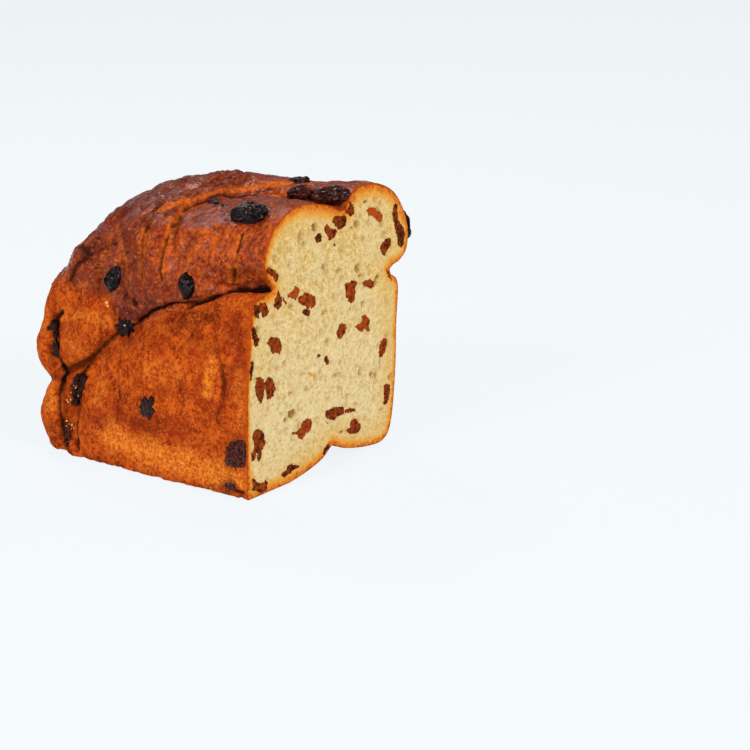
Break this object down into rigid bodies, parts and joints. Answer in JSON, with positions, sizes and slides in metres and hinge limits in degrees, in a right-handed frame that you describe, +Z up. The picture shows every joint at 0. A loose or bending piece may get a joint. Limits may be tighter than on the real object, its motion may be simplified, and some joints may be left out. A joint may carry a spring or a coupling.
{
  "type": "tin loaf",
  "caption": "Cut half of a raisin tin loaf: twisted brown crust, open pale crumb with raisins, flat base to rest on.",
  "frame": {"origin": "middle of the base, on the surface that the loaf rests on", "axes": "+Z up, +Y from the cut face to the far end, +X across the loaf to the right of the cut face"},
  "size_m": [0.1129, 0.1187, 0.1125],
  "materials": {
    "bread": "matte",
    "raisin_cut": "matte",
    "raisin_baked": "satin"
  },
  "bodies": {
    "root": {"loaf": "bread", "cut_lobe_left": "raisin_cut", "cut_notch": "raisin_cut", "cut_torn": "raisin_cut", "cut_heart": "raisin_cut", "cut_corner_outer": "raisin_cut", "cut_corner_inner": "raisin_cut", "cut_right_upper": "raisin_cut", "cut_right_flat": "raisin_cut", "cut_right_star": "raisin_cut", "cut_middle_right": "raisin_cut", "cut_lobe_right": "raisin_cut", "cut_rim_upper": "raisin_cut", "cut_rim_right": "raisin_cut", "cut_orange": "raisin_cut", "cut_valley_top": "raisin_cut", "cut_valley_middle": "raisin_cut", "cut_valley_lower": "raisin_cut", "cut_valley_end": "raisin_cut", "cut_edge_upper": "raisin_cut", "cut_left_middle": "raisin_cut", "cut_speck": "raisin_cut", "cut_edge_middle": "raisin_cut", "cut_pair_left": "raisin_cut", "cut_pair_right": "raisin_cut", "cut_wall_middle": "raisin_cut", "cut_wall_lower": "raisin_cut", "cut_long": "raisin_cut", "cut_base_right": "raisin_cut", "cut_slanted": "raisin_cut", "cut_tall": "raisin_cut", "cut_seam": "raisin_cut", "cut_hollow": "raisin_cut", "cut_base_left": "raisin_cut", "top_front": "raisin_baked", "top_slit": "raisin_baked", "valley_front": "raisin_baked", "valley_back": "raisin_baked", "ridge": "raisin_baked", "valley_end": "raisin_baked", "flank_front": "raisin_baked", "flank_back": "raisin_baked", "crease_star": "raisin_baked", "gap_upper": "raisin_baked", "gap_lower": "raisin_baked", "side_back": "raisin_baked", "side_middle": "raisin_baked", "side_corner": "raisin_baked", "side_foot": "raisin_baked", "gap_foot": "raisin_baked", "lobe_outer": "raisin_baked", "right_crease": "raisin_baked", "right_wall_upper": "raisin_baked", "right_wall_lower": "raisin_baked", "right_seam": "raisin_baked", "end_upper": "raisin_baked", "end_middle": "raisin_baked", "end_lower": "raisin_baked", "dome_back": "raisin_baked"}
  },
  "joints": []
}
